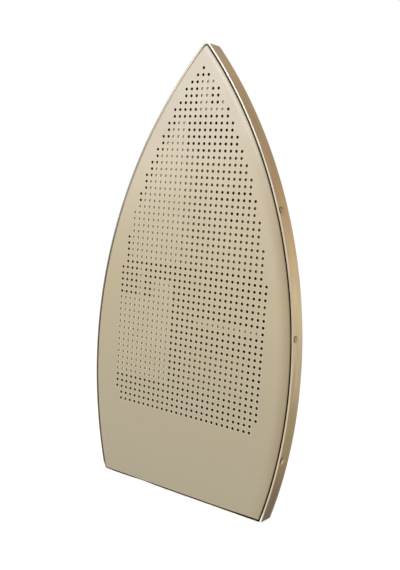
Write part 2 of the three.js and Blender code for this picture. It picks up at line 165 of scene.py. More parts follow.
def sole_cells():
    """Column and row of every steam hole."""
    return [(column, row) for row in range(FIELD_ROWS)
            for column in range(-row_half_count(row), row_half_count(row) + 1)]


def backing_cells():
    """The backing plate's holes sit between four of the sole's holes."""
    cells = []
    for row in range(FIELD_ROWS - 1):
        reach = min(row_half_count(row), row_half_count(row + 1))
        cells += [(column + 0.5, row + 0.5) for column in range(-reach, reach)]
    return cells


def held_inside(x, z, least_inset):
    """The same place, drawn in from a long side where it comes too close to it."""
    reach = hypot(abs(x) - SIDE_CENTRE_X, z - WIDEST_Z)
    share = min(1.0, (SIDE_RADIUS - least_inset) / reach)
    return (copysign((abs(x) - SIDE_CENTRE_X) * share + SIDE_CENTRE_X, x),
            WIDEST_Z + (z - WIDEST_Z) * share)


def within(edges, x, z):
    """Whether a place is inside closed lines, given as edges of four coordinates."""
    crossings = 0
    for ax, az, bx, bz in edges:
        if (az > z) != (bz > z) and x < ax + (bx - ax) * (z - az) / (bz - az):
            crossings += 1
    return crossings % 2 == 1


def punched_face(cells, radius, loops, depth_at, points, hole_rings):
    """Fills the area inside the first loop, leaving a round hole in each cell.

    Adds to points and returns the faces. The other loops only add points, so that the
    sheet can curve. hole_rings gets the indices round each hole.
    """
    quarter = HOLE_PITCH / 4
    least_inset = inset_at(*loops[0][len(loops[0]) // 4]) + 0.3
    faces, corner_index, edge_use = [], {}, {}

    def corner_point(key):
        if key not in corner_index:
            x, z = held_inside(key[0] * quarter + FIELD_OFF_CENTRE, FIELD_TOP_Z - key[1] * quarter,
                               least_inset)
            corner_index[key] = len(points)
            points.append((x, depth_to_y(depth_at(x, z)), z))
        return corner_index[key]

    for column, row in cells:
        middle_x = column * HOLE_PITCH + FIELD_OFF_CENTRE
        middle_z = FIELD_TOP_Z - row * HOLE_PITCH
        left, top = round(4 * column) - 2, round(4 * row) - 2
        square = [(left + 4, top + 2 - i) for i in range(3)]
        square += [(left + 3 - i, top) for i in range(4)]
        square += [(left, top + 1 + i) for i in range(4)]
        square += [(left + 1 + i, top + 4) for i in range(4)]
        square += [(left + 4, top + 3)]
        outer = [corner_point(key) for key in square]
        inner = []
        for angle in turns(HOLE_SIDES):
            x, z = middle_x + radius * cos(angle), middle_z + radius * sin(angle)
            inner.append(len(points))
            points.append((x, depth_to_y(depth_at(x, z)), z))
        for i in range(HOLE_SIDES):
            after = (i + 1) % HOLE_SIDES
            faces.append((outer[i], outer[after], inner[after], inner[i]))
            edge = tuple(sorted((outer[i], outer[after])))
            edge_use[edge] = edge_use.get(edge, 0) + 1
        hole_rings.append(inner)

    spots, edges, where = [], [], []
    field_index = {}
    for edge in (e for e, uses in edge_use.items() if uses == 1):
        for index in edge:
            if index not in field_index:
                field_index[index] = len(spots)
                spots.append(Vector((points[index][0], points[index][2])))
                where.append(index)
        edges.append((field_index[edge[0]], field_index[edge[1]]))
    field_edges = [(*spots[a], *spots[b]) for a, b in edges]
    rim_loop = []
    for loop_number, loop in enumerate(loops):
        for i, (x, z) in enumerate(loop):
            if loop_number == 0:
                edges.append((len(spots), len(spots) - i + (i + 1) % len(loop)))
                rim_loop.append(len(points))
            elif i % 3 or any(within(field_edges, x + dx, z + dz)
                              for dx in (-0.6, 0.6) for dz in (-0.6, 0.6)):
                continue
            spots.append(Vector((x, z)))
            where.append(len(points))
            points.append((x, depth_to_y(depth_at(x, z)), z))
    places, _, triangles, origins, _, _ = delaunay_2d_cdt(spots, edges, [], 1, 1e-6)
    for triangle in triangles:
        middle = sum((places[i] for i in triangle), Vector((0, 0))) / 3
        if not within(field_edges, middle.x, middle.y):
            faces.append(tuple(where[origins[i][0]] for i in triangle))
    return faces, rim_loop


def bridge(first, second):
    """Faces between two closed rings of the same length."""
    count = len(first)
    return [(first[i], first[(i + 1) % count], second[(i + 1) % count], second[i])
            for i in range(count)]


def add_ring(points, ring):
    start = len(points)
    points.extend(ring)
    return list(range(start, start + len(ring)))


def crown(x, z):
    """The pressed sheet falls back slightly towards its rolled edge."""
    reach = CROWN_START - SOLE_INSET - SOLE_EDGE_RADIUS
    share = max(0.0, CROWN_START - inset_at(x, z)) / reach
    return SOLE_CROWN * min(share, 1.0) ** 2


def hugging(inset):
    """The outline at an inset, pressed closer to the frame on the left and along the heel."""
    line = []
    for (x, z), (near_x, near_z) in zip(outline(inset)[:-1], outline(inset - HUG)[:-1]):
        left = clamp(0.15 - x / 10, -0.7)
        heel = clamp((6 - z) / 3) * clamp((44 - x) / 16)
        share = max(left, heel)
        line.append((x + (near_x - x) * share, z + (near_z - z) * share))
    return line


def build_sole():
    points, faces = [], []
    flat_inset = SOLE_INSET + SOLE_EDGE_RADIUS
    crown_loops = [outline(flat_inset + extra)[:-1] for extra in (0, 1.1, 2.4, 3.9)]
    front_rings, back_rings, throats = [], [], []
    front, front_rim = punched_face(
        sole_cells(), HOLE_RADIUS + HOLE_RIM, crown_loops, crown, points, front_rings)
    back, back_rim = punched_face(
        sole_cells(), HOLE_RADIUS, crown_loops,
        lambda x, z: crown(x, z) + SOLE_SHEET, points, back_rings)
    faces += front + back
    for front_ring, back_ring in zip(front_rings, back_rings):
        throat = add_ring(points, [
            (points[i][0], points[front_ring[n]][1] + HOLE_RIM, points[i][2])
            for n, i in enumerate(back_ring)])
        throats.extend(throat + back_ring)
        faces += bridge(front_ring, throat) + bridge(throat, back_ring)
    inner_radius = SOLE_EDGE_RADIUS - SOLE_SHEET
    bend = [pi / 2 * i / 9 for i in range(8, -1, -1)]
    profile = [(SOLE_INSET + SOLE_EDGE_RADIUS * (1 - cos(turn)),
                SOLE_EDGE_RADIUS * (1 - sin(turn))) for turn in bend]
    profile += [(SOLE_INSET, SOLE_BACK - 0.15), (SOLE_INSET + 0.15, SOLE_BACK),
                (SOLE_INSET + SOLE_SHEET - 0.15, SOLE_BACK),
                (SOLE_INSET + SOLE_SHEET, SOLE_BACK - 0.15)]
    for turn in [pi / 2 * i / 6 for i in range(6)]:
        profile.append((SOLE_INSET + SOLE_SHEET + inner_radius * (1 - cos(turn)),
                        SOLE_SHEET + inner_radius * (1 - sin(turn))))
    ring = front_rim
    for inset, depth in profile:
        fade = max(0.0, 1 - depth / SOLE_EDGE_RADIUS)
        following = add_ring(points, [(x, depth_to_y(depth + fade * crown(x, z)), z)
                                      for x, z in hugging(inset)])
        faces += bridge(ring, following)
        ring = following
    faces += bridge(ring, back_rim)
    rims = [i for ring in front_rings for i in ring]
    return make_piece("sole_sheet", points, faces), rims, throats


def place(tree, kind, inputs=None, **options):
    """Adds a node, sets its options, and fills or links its inputs by name or number."""
    node = tree.nodes.new("ShaderNode" + kind)
    for name, value in options.items():
        setattr(node, name, value)
    for name, value in (inputs or {}).items():
        if isinstance(value, bpy.types.NodeSocket):
            tree.links.new(value, node.inputs[name])
        else:
            node.inputs[name].default_value = value
    return node


def colour(red, green, blue):
    """A colour as a paint chart gives it, turned into light amounts."""
    def light(value):
        value = value / 255
        return value / 12.92 if value <= 0.04045 else ((value + 0.055) / 1.055) ** 2.4
    return (light(red), light(green), light(blue), 1.0)


def mixed(tree, amount, first, second):
    """The colour output of a mix between two colours."""
    node = place(tree, "Mix", data_type="RGBA")
    for number, value in ((0, amount), (6, first), (7, second)):
        socket = node.inputs[number]
        if isinstance(value, bpy.types.NodeSocket):
            tree.links.new(value, socket)
        else:
            socket.default_value = value
    return node.outputs[2]


def ranged(tree, value, from_low, from_high, to_low=0.0, to_high=1.0):
    return place(tree, "MapRange", {0: value, 1: from_low, 2: from_high, 3: to_low, 4: to_high},
                 interpolation_type="SMOOTHSTEP").outputs[0]


def arithmetic(tree, operation, first, second):
    return place(tree, "Math", {0: first, 1: second}, operation=operation).outputs[0]


def times(tree, first, second):
    return arithmetic(tree, "MULTIPLY", first, second)


def mask(tree, name):
    """A mask that the mesh carries, from 0 to 1."""
    return place(tree, "Attribute", attribute_name=name).outputs["Fac"]


def new_group(name, inputs, outputs):
    """An effect group with float inputs, given with their starting values, and outputs."""
    tree = bpy.data.node_groups.new(name, "ShaderNodeTree")
    for label, value in inputs.items():
        socket = tree.interface.new_socket(label, in_out="INPUT", socket_type="NodeSocketFloat")
        socket.default_value = value
    for label in outputs:
        tree.interface.new_socket(label, in_out="OUTPUT", socket_type="NodeSocketFloat")
    return tree, tree.nodes.new("NodeGroupInput"), tree.nodes.new("NodeGroupOutput")


def use_group(tree, group, **values):
    node = tree.nodes.new("ShaderNodeGroup")
    node.node_tree = group
    for label, value in values.items():
        node.inputs[label].default_value = value
    return node


def build_patina():
    """Cloudy mask and fine grain, for any surface that has been handled and heated."""
    tree, given, result = new_group(
        "patina", {"Cloud": 30.0, "Grain": 900.0}, ("Clouds", "Speck", "Height"))
    spot = place(tree, "TexCoord").outputs["Object"]
    clouds = place(tree, "TexNoise", {"Vector": spot, "Scale": given.outputs["Cloud"],
                                      "Detail": 5.0, "Roughness": 0.6}).outputs[0]
    grain = place(tree, "TexNoise", {"Vector": spot, "Scale": given.outputs["Grain"],
                                     "Detail": 3.0, "Roughness": 0.7}).outputs[0]
    tree.links.new(ranged(tree, clouds, 0.35, 0.65), result.inputs["Clouds"])
    tree.links.new(ranged(tree, grain, 0.3, 0.7), result.inputs["Speck"])
    tree.links.new(grain, result.inputs["Height"])
    return tree


patina = build_patina()
TONE_HEIGHT = 226
# Coat colour from heel to toe: lighter towards the toe and darker at the heel, as painted light and
# shade.
COAT_SHADING_TONES = ((0.0, 163, 153, 130), (0.25, 170, 159, 134), (0.5, 186, 172, 143),
              (0.75, 202, 191, 170), (1.0, 214, 207, 196))


def new_material(name, metallic):
    """A material with only its shader and output."""
    material = bpy.data.materials.new(name)
    material.use_nodes = True
    tree = material.node_tree
    tree.nodes.clear()
    shader = place(tree, "BsdfPrincipled")
    output = place(tree, "OutputMaterial")
    tree.links.new(shader.outputs[0], output.inputs[0])
    shader.inputs["Metallic"].default_value = metallic
    return material, tree, shader


def connect(tree, shader, **sockets):
    for label, value in sockets.items():
        tree.links.new(value, shader.inputs[label.replace("_", " ")])


def bumped(tree, height, strength, distance):
    return place(tree, "Bump", {"Height": height, "Strength": strength,
                                "Distance": distance}).outputs[0]


def object_axes(tree):
    """The three object coordinates, in metres."""
    split = place(tree, "SeparateXYZ", {0: place(tree, "TexCoord").outputs["Object"]})
    return split.outputs[0], split.outputs[1], split.outputs[2]


def tone_by_height(tree, up, tones):
    """A colour that runs from heel to toe through tones: share of the way, red, green, blue."""
    node = place(tree, "ValToRGB", {0: arithmetic(tree, "DIVIDE", up, TONE_HEIGHT * MM)})
    stops = node.color_ramp.elements
    for stop, tone in zip(stops, (tones[0], tones[-1])):
        stop.position, stop.color = tone[0], colour(*tone[1:])
    for tone in tones[1:-1]:
        stops.new(tone[0]).color = colour(*tone[1:])
    return node.outputs[0]


def non_stick_coat():
    material, tree, shader = new_material("champagne_non_stick", 0.0)
    across, back, up = object_axes(tree)
    age = use_group(tree, patina, Cloud=16.0, Grain=2600.0)
    # Painted light and shade: the coat runs from darker at the heel to lighter at the toe.
    body = tone_by_height(tree, up, COAT_SHADING_TONES)
    clouds = times(tree, age.outputs["Clouds"], 0.3)
    body = mixed(tree, clouds, body, colour(170, 158, 130))
    speck = times(tree, age.outputs["Speck"], 0.08)
    body = mixed(tree, speck, body, colour(120, 106, 80))
    # Painted highlight: the rims of the steam holes are lightened.
    rim = mask(tree, "hole_rim")
    body = mixed(tree, ranged(tree, rim, 0.5, 1.0, 0.0, 0.45), body, colour(226, 216, 194))
    # The hole throats are darkened: partly the bare cut edge, partly painted shade inside the
    # holes.
    throat = mask(tree, "hole_throat")
    body = mixed(tree, ranged(tree, throat, 0.3, 1.0, 0.0, 0.75), body, colour(62, 50, 34))
    # Painted shade: the coat darkens towards the right-hand edge.
    right_edge_shade = mask(tree, "edge_shade")
    body = mixed(tree, times(tree, right_edge_shade, 0.6), body, colour(140, 120, 88))
    # Painted shade in the groove between the sole's edge and the frame: near black on the right
    # and along the heel, brown low on the left, and a painted highlight on the left towards the
    # toe.
    groove_y = depth_to_y(GROOVE_DEPTH) * MM
    outside = mask(tree, "faces_out")
    groove = times(tree, outside,
                        ranged(tree, back, groove_y - 0.0004, groove_y + 0.0003))
    left_groove_shade = mixed(tree, ranged(tree, up, 0.11, 0.16),
                       colour(124, 108, 84), colour(232, 225, 210))
    groove_shade = mixed(tree, ranged(tree, across, -0.004, 0.003), left_groove_shade, colour(10, 6, 3))
    heel_groove_shade = mixed(tree, ranged(tree, across, 0.034, 0.048),
                       colour(66, 52, 34), colour(6, 3, 0))
    groove_shade = mixed(tree, ranged(tree, up, 0.003, 0.008), heel_groove_shade, groove_shade)
    body = mixed(tree, groove, body, groove_shade)
    gloss = ranged(tree, age.outputs["Clouds"], 0.0, 1.0, 0.4, 0.48)
    connect(tree, shader, Base_Color=body, Roughness=gloss,
            Specular_IOR_Level=ranged(tree, groove, 0.0, 1.0, 0.45, 0.05),
            Normal=bumped(tree, age.outputs["Height"], 0.12, 0.0002))
    return material


def add_mask(piece, name, values):
    piece.data.attributes.new(name, "FLOAT", "POINT").data.foreach_set("value", values)


def edge_shade(x, z):
    """Painted shade that deepens towards the right-hand edge, and fades near the toe and heel."""
    inset = side_inset(x, z)
    near = clamp((7 - inset) / 5)
    low = clamp((185 - z) / 50)
    foot = clamp(z / 40, 0.45)
    return near * low * foot if x > 0 else 0.0


sole, rim_points, throat_points = build_sole()
count = len(sole.data.vertices)
rims, throats = set(rim_points), set(throat_points)
add_mask(sole, "hole_rim", [float(i in rims) for i in range(count)])
add_mask(sole, "hole_throat", [float(i in throats) for i in range(count)])
add_mask(sole, "faces_out", [float(v.normal.y < -0.05 or v.normal.x * v.co.x
                                   + v.normal.z * (v.co.z - WIDEST_Z * MM) > 0)
                             for v in sole.data.vertices])
add_mask(sole, "edge_shade", [edge_shade(v.co.x / MM, v.co.z / MM) for v in sole.data.vertices])
sole.data.materials.append(non_stick_coat())
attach(sole, "shoe")
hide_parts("sole")


# ---- Backing plate ----
# Flat aluminium sheet that lies behind the sole and spreads the iron's heat. Its own steam
# holes are staggered, so that steam has to cross between the two sheets.

PLATE_INSET = 3.5
PLATE_FRONT = 0.9
PLATE_SHEET = 0.8
PLATE_HOLE_RADIUS = 0.7
PLATE_EDGE_BREAK = 0.1


def build_backing():
    points, faces, sides = [], [], []
    for depth in (PLATE_FRONT, PLATE_FRONT + PLATE_SHEET):
        hole_rings = []
        face, rim = punched_face(backing_cells(), PLATE_HOLE_RADIUS,
                                 [outline(PLATE_INSET + PLATE_EDGE_BREAK)[:-1]],
                                 lambda x, z: depth, points, hole_rings)
        faces += face
        sides.append((rim, hole_rings))
    (ring, front_rings), (back_rim, back_rings) = sides
    for front_ring, back_ring in zip(front_rings, back_rings):
        faces += bridge(front_ring, back_ring)
    for depth in (PLATE_FRONT + PLATE_EDGE_BREAK, PLATE_FRONT + PLATE_SHEET - PLATE_EDGE_BREAK):
        edge = add_ring(points, [(x, depth_to_y(depth), z) for x, z in outline(PLATE_INSET)[:-1]])
        faces += bridge(ring, edge)
        ring = edge
    faces += bridge(ring, back_rim)
    return make_piece("backing_plate", points, faces)


# Painted light and shade behind blocks of the sole's holes, for what shows through them: dark
# blocks are painted shade, bright ones painted light. Each gives tone, first and last column
# from the middle, first and last row from the toe. Later blocks lie over earlier ones.
BRIGHT, BROWN, DULL, DARKEST_SHADE = 1.0, 0.45, 0.2, 0.0
LIGHT_AND_SHADE_BLOCKS = (
    (DARKEST_SHADE, -20, 20, -2, 60), (BROWN, -1, 14, 13, 29), (BROWN, 0, 11, 43, 48),
    (DULL, -14, -4, 30, 35), (DULL, -14, -4, 49, 53), (0.7, -2, -1, 12, 29),
    (BRIGHT, -12, -3, 8, 29), (BRIGHT, -14, -4, 36, 48), (BRIGHT, -7, -4, 33, 35),
    (BRIGHT, -10, -10, 31, 36), (BRIGHT, 0, 4, 2, 6), (0.8, 2, 13, 38, 38),
    (BROWN, 1, 2, 32, 32), (BROWN, 13, 14, 34, 35), (DARKEST_SHADE, 4, 11, 18, 19),
    (DARKEST_SHADE, 7, 8, 21, 22), (DARKEST_SHADE, 9, 9, 24, 24), (DARKEST_SHADE, 2, 3, 3, 5),
)
MARK_EDGE = 0.25
LEFT_EDGE_SHADE_INSET = 12.8
LEFT_EDGE_SHADE_LOW_Z = 150


def light_and_shade_tone(x, z):
    """How bright the backing is painted at a place, from 0 for painted shade to 1 for painted
    light.
    """
    column = x / HOLE_PITCH
    row = (FIELD_TOP_Z - z) / HOLE_PITCH
    tone = 0.0
    for mark, left, right, top, bottom in LIGHT_AND_SHADE_BLOCKS:
        inside = 1.0
        for reach in (column - left, right - column, row - top, bottom - row):
            inside *= clamp((reach + 0.5) / MARK_EDGE + 0.5)
        tone += (mark - tone) * inside
    # The band along the left edge is painted darkest: painted shade of the frame's inner wall seen
    # through the holes.
    if z > LEFT_EDGE_SHADE_LOW_Z and x < 0 and inset_at(x, z) < LEFT_EDGE_SHADE_INSET:
        tone = DARKEST_SHADE
    return tone


def backing_painted_light_and_shade():
    material, tree, shader = new_material("backing_painted_light_and_shade", 0.0)
    _, back, _ = object_axes(tree)
    age = use_group(tree, patina, Cloud=60.0, Grain=1500.0)
    # Dark tones are painted shade and bright tones painted light, for what shows through the sole's
    # holes.
    tone = mask(tree, "light_and_shade_tone")
    body = mixed(tree, ranged(tree, tone, 0.0, 0.5), colour(14, 10, 6), colour(132, 112, 78))
    body = mixed(tree, ranged(tree, tone, 0.45, 1.0), body, colour(250, 240, 214))
    body = mixed(tree, times(tree, age.outputs["Clouds"], 0.25),
                 body, colour(96, 80, 54))
    clean = mixed(tree, age.outputs["Clouds"], colour(192, 186, 172), colour(176, 169, 153))
    middle_y = depth_to_y(PLATE_FRONT + PLATE_SHEET / 2) * MM
    rear = ranged(tree, back, middle_y - 0.0001, middle_y + 0.0001)
    body = mixed(tree, rear, body, clean)
    # Painted glint: the brightest blocks glow faintly on the front face.
    glint = mixed(tree, rear, mixed(tree, ranged(tree, tone, 0.5, 1.0), colour(0, 0, 0),
                                    colour(250, 236, 202)), colour(0, 0, 0))
    shader.inputs["Emission Strength"].default_value = 0.13
    connect(tree, shader, Base_Color=body, Emission_Color=glint,
            Metallic=times(tree, rear, 0.9),
            Roughness=ranged(tree, age.outputs["Clouds"], 0.0, 1.0, 0.4, 0.55),
            Normal=bumped(tree, age.outputs["Height"], 0.15, 0.0003))
    return material


backing = build_backing()
add_mask(backing, "light_and_shade_tone", [light_and_shade_tone(v.co.x / MM, v.co.z / MM) for v in backing.data.vertices])
backing.data.materials.append(backing_painted_light_and_shade())
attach(backing, "shoe")
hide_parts("heat_plate")


# ---- Frame ----
# Aluminium strip on edge, bent once round the whole sole, its two ends meeting on the heel.
# The cut front edge is painted bright as a painted highlight, with painted shade on the left;
# the wall has the satin of rolled strip, and its warm tones are painted reflection and shade.

FRAME_WALL = 0.8
LIP_DEPTH = 1.2
FRAME_BACK = 10
SEAM_GAP = 0.4
SIDE_RIVET_DEPTH = 4
SIDE_RIVET_Z = (33.1, 92.5, 151.3)
DIMPLE_DEPTH = 0.12
DIMPLE_SPREAD = 2.6
HEEL_RIPPLES = ((0.34, -24, 7), (0.2, -51, 4))  # height, middle and spread of each


def loft(name, rings, sharp_angle=35):
    """A tube or bar through rings of points, with flat ends."""
    points, faces = [], []
    numbered = [add_ring(points, ring) for ring in rings]
    for first, second in zip(numbered, numbered[1:]):
        faces += bridge(first, second)
    faces += [tuple(numbered[0]), tuple(reversed(numbered[-1]))]
    return make_piece(name, points, faces, sharp_angle)


def rounded_section(first, last, front, back, round_front, round_back, wall_steps=1):
    """Inset and depth pairs of a flat bar on edge, its corners rounded."""
    section = []
    corners = ((first + round_front, front + round_front, round_front, pi),
               (last - round_front, front + round_front, round_front, 1.5 * pi),
               (last - round_back, back - round_back, round_back, 0.0),
               (first + round_back, back - round_back, round_back, 0.5 * pi))
    for cx, cy, radius, start in corners:
        section += arc_points(cx, cy, radius, start, start + pi / 2, 4)
    ahead = section[0]
    wall = straight(section[-1], ahead, wall_steps)[1:-1]
    return section + wall


def along_outline(section, seam_gap):
    """Rings of a section carried round the outline."""
    lines = [outline(inset, seam_gap) for inset, _ in section]
    return [[(lines[k][s][0], depth, lines[k][s][1]) for k, (_, depth) in enumerate(section)]
            for s in range(len(lines[0]))]


def side_spot(z, inset):
    """Place and lean of the right-hand wall at a height."""
    angle = asin((z - WIDEST_Z) / SIDE_RADIUS)
    radius = SIDE_RADIUS - inset
    return SIDE_CENTRE_X + radius * cos(angle), WIDEST_Z + radius * sin(angle), angle


def frame_shape(x, depth, z):
    """Shallow dimples at the rivets, and the slight ripple left by bending the heel."""
    pull = 0.0
    for rivet_z in SIDE_RIVET_Z:
        away = hypot(z - rivet_z, depth - SIDE_RIVET_DEPTH)
        pull += DIMPLE_DEPTH * exp(-((away / DIMPLE_SPREAD) ** 2))
    x -= copysign(pull, x) if abs(x) > 20 and z > 8 else 0.0
    if z < 3:
        front = max(0.0, 1 - (depth - LIP_DEPTH) / 4)
        for height, middle, spread in HEEL_RIPPLES:
            z += front * height * exp(-(((x - middle) / spread) ** 2))
    return x, depth_to_y(depth), z


frame_section = rounded_section(0, FRAME_WALL, LIP_DEPTH, FRAME_BACK, 0.22, 0.15, 12)
frame_rings = [[frame_shape(*spot) for spot in ring]
               for ring in along_outline(frame_section, SEAM_GAP)]
frame_strip = loft("frame_strip", frame_rings)
section_size = len(frame_section)
add_mask(frame_strip, "outer_face", [float(frame_section[i % section_size][0] < 0.3)
                                     for i in range(len(frame_strip.data.vertices))])


def build_rolling():
    """Fine streaks along the strip, as the rolling mill leaves them, and long soft marks."""
    tree, given, result = new_group(
        "rolling", {"Fineness": 2500.0, "Stretch": 0.02}, ("Streak", "Height"))
    across, back, up = object_axes(tree)
    drawn = place(tree, "CombineXYZ", {
        0: times(tree, across, given.outputs["Stretch"]), 1: back,
        2: times(tree, up, given.outputs["Stretch"])}).outputs[0]
    streak = place(tree, "TexNoise", {"Vector": drawn, "Scale": given.outputs["Fineness"],
                                      "Detail": 4.0, "Roughness": 0.65}).outputs[0]
    tree.links.new(ranged(tree, streak, 0.3, 0.7), result.inputs["Streak"])
    tree.links.new(streak, result.inputs["Height"])
    return tree


rolling = build_rolling()


# Wall colour from heel to toe: painted reflection and shade, warm tan, darker towards the heel.
WALL_REFLECTION_TONES = ((0.0, 94, 70, 28), (0.07, 108, 83, 40), (0.145, 134, 114, 72),
              (0.24, 148, 130, 92), (0.36, 190, 170, 136), (0.5, 204, 184, 148),
              (0.66, 196, 165, 124), (0.75, 212, 178, 133), (1.0, 214, 182, 138))
# Cut edge from heel to toe: painted highlight, near white at the heel and towards the toe.
LIP_HIGHLIGHT_TONES = ((0.0, 250, 246, 236), (0.012, 248, 242, 230), (0.03, 206, 190, 164),
             (0.5, 206, 190, 164), (0.75, 240, 232, 212), (1.0, 252, 249, 240))
# Cut edge on the left, heel to toe: painted shade low down, painted highlight towards the toe.
LEFT_LIP_SHADE_TONES = ((0.0, 122, 108, 84), (0.4, 130, 118, 98), (0.6, 160, 156, 146),
                  (0.8, 192, 188, 178), (0.9, 248, 244, 232), (1.0, 250, 246, 236))


def strip_aluminium():
    material, tree, shader = new_material("strip_aluminium", 1.0)
    across, back, up = object_axes(tree)
    age = use_group(tree, patina, Cloud=30.0, Grain=1800.0)
    lines = use_group(tree, rolling, Fineness=1600.0, Stretch=0.03)
    # Painted reflection and shade on the wall, darker towards the heel.
    wall = tone_by_height(tree, up, WALL_REFLECTION_TONES)
    dimmed = place(tree, "HueSaturation", {"Value": 0.72, "Color": wall}).outputs[0]
    marks = times(tree, age.outputs["Clouds"], lines.outputs["Streak"])
    wall = mixed(tree, marks, wall, dimmed)
    outer = mask(tree, "outer_face")
    wall = mixed(tree, outer, colour(186, 178, 160), wall)
    # The foot of the two heel corners is painted near black, as painted shadow where they meet the
    # floor.
    corner = arithmetic(tree, "MULTIPLY",
                        ranged(tree, arithmetic(tree, "ABSOLUTE", across, 0.0), 0.0500, 0.0512),
                        ranged(tree, up, 0.0003, 0.0013, 1.0, 0.0))
    wall = mixed(tree, corner, wall, colour(20, 12, 4))
    lip_y = depth_to_y(LIP_DEPTH) * MM
    cut_edge = ranged(tree, back, lip_y + 0.00015, lip_y + 0.0005, 1.0, 0.0)
    left = times(tree, ranged(tree, across, -0.004, 0.0, 1.0, 0.0),
                      ranged(tree, up, 0.002, 0.005))
    # Painted highlight: the inner wall on the left is lightened to cream just behind the cut edge.
    left_inner_wall_highlight = times(tree, left,
                           ranged(tree, back, lip_y + 0.0005, lip_y + 0.003, 1.0, 0.0))
    wall = mixed(tree, left_inner_wall_highlight, wall, colour(246, 238, 222))
    # Painted highlight on the cut edge, with painted shade on its left side.
    lip = mixed(tree, left, tone_by_height(tree, up, LIP_HIGHLIGHT_TONES),
                tone_by_height(tree, up, LEFT_LIP_SHADE_TONES))
    body = mixed(tree, cut_edge, wall, lip)
    gloss = ranged(tree, lines.outputs["Streak"], 0.0, 1.0, 0.3, 0.44)
    connect(tree, shader, Base_Color=body, Roughness=gloss,
            Normal=bumped(tree, lines.outputs["Height"], 0.15, 0.0001))
    return material


frame_strip.data.materials.append(strip_aluminium())
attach(frame_strip, "shoe")
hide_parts("frame")


# ---- Clamp strips ----
# Two flat aluminium strips inside the long sides. The rivets pull them against the sole's
# upturned edge, so that the edge is pinched between strip and frame.

STRIP_INSET = 2.2
STRIP_SHEET = 1
STRIP_FRONT = 2
STRIP_BACK = 8.5
STRIP_LOW_Z = 20
STRIP_HIGH_Z = 165
STRIP_STEPS = 60


def build_clamp_strip(name, hand):
    section = rounded_section(STRIP_INSET, STRIP_INSET + STRIP_SHEET, STRIP_FRONT, STRIP_BACK,
                              0.2, 0.2, 4)
    rings = []
    for i in range(STRIP_STEPS + 1):
        z = STRIP_LOW_Z + (STRIP_HIGH_Z - STRIP_LOW_Z) * i / STRIP_STEPS
        ring = []
        for inset, depth in section:
            x, height, _ = side_spot(z, inset)
            ring.append((hand * x, depth_to_y(depth), height))
        rings.append(ring)
    return loft(name, rings)


def plain_aluminium(name, tint, cloud_tint):
    material, tree, shader = new_material(name, 1.0)
    age = use_group(tree, patina, Cloud=40.0, Grain=2000.0)
    lines = use_group(tree, rolling, Fineness=1500.0, Stretch=0.04)
    body = mixed(tree, age.outputs["Clouds"], tint, cloud_tint)
    connect(tree, shader, Base_Color=body,
            Roughness=ranged(tree, lines.outputs["Streak"], 0.0, 1.0, 0.32, 0.48),
            Normal=bumped(tree, lines.outputs["Height"], 0.15, 0.0001))
    return material


dull_aluminium = plain_aluminium("dull_aluminium", colour(196, 192, 182), colour(170, 164, 150))
HANDS = (("left", -1), ("right", 1))
for side, hand in HANDS:
    clamp_strip = build_clamp_strip(f"clamp_strip_bar_{side}", hand)
    clamp_strip.data.materials.append(dull_aluminium)
    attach(clamp_strip, "shoe")
    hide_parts(f"clamp_strip_{side}")


# ---- Toe hood ----
# Flat aluminium plate across the back of the toe, let into the frame. The nose of the iron
# slides in under it. Its rear edge is cut to a shallow curve and broken with a file.

HOOD_INSET = 1.1
HOOD_FRONT = 8.2
HOOD_SHEET = 1
HOOD_LOW_Z = 190
HOOD_EDGE_BREAK = 0.2
HOOD_HOLLOW = 12


def build_plate(outer, hole, front, back, edge_break):
    """A flat plate with an optional hole, drawn in two directions, with broken edges.

    Its points come out as (first, thickness, second).
    """
    points, faces = [], []

    def shrunk(loop, amount):
        moved, count = [], len(loop)
        for i in range(count):
            along = (Vector(loop[(i + 1) % count]) - Vector(loop[i - 1])).normalized()
            moved.append(tuple(Vector(loop[i]) + Vector((-along.y, along.x)) * amount))
        return moved

    def levels(loop, direction):
        steps = ((front, edge_break), (front + edge_break, 0.0),
                 (back - edge_break, 0.0), (back, edge_break))
        return [add_ring(points, [(a, depth, b) for a, b in shrunk(loop, direction * amount)])
                for depth, amount in steps]

    outer_levels = levels(outer, 1)
    hole_levels = levels(hole, 1) if hole else []
    for stack in (outer_levels, hole_levels):
        for first, second in zip(stack, stack[1:]):
            faces += bridge(first, second)
    for level in (0, 3):
        rings = [outer_levels[level]] + ([hole_levels[level]] if hole else [])
        spots, edges, where = [], [], []
        for ring in rings:
            start = len(spots)
            for n, index in enumerate(ring):
                spots.append(Vector((points[index][0], points[index][2])))
                where.append(index)
                edges.append((start + n, start + (n + 1) % len(ring)))
        _, _, triangles, origins, _, _ = delaunay_2d_cdt(spots, edges, [], 4 if hole else 1, 1e-6)
        faces += [tuple(where[origins[i][0]] for i in triangle) for triangle in triangles]
    return points, faces


def curve_spot(start, middle, end, t):
    """A place on the curve that leaves start and reaches end while aiming at middle."""
    return tuple(a * (1 - t) ** 2 + b * 2 * t * (1 - t) + c * t ** 2
                 for a, b, c in zip(start, middle, end))


def hood_outline():
    rim = [spot for spot in outline(HOOD_INSET)[:-1] if spot[1] > HOOD_LOW_Z]
    middle = (0, HOOD_LOW_Z + HOOD_HOLLOW)
    return rim + [curve_spot(rim[-1], middle, rim[0], i / 24) for i in range(1, 24)]


hood_points, hood_faces = build_plate(
    hood_outline(), None, depth_to_y(HOOD_FRONT),
    depth_to_y(HOOD_FRONT + HOOD_SHEET), HOOD_EDGE_BREAK)
toe_hood = make_piece("toe_hood_plate", hood_points, hood_faces)
toe_hood.data.materials.append(
    plain_aluminium("hood_aluminium", colour(222, 214, 198), colour(204, 192, 170)))
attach(toe_hood, "shoe")
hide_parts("toe_hood")


# ---- Heel splice ----
# Short aluminium plate behind the seam in the heel. One rivet on each side of the seam
# holds the two ends of the frame to it.

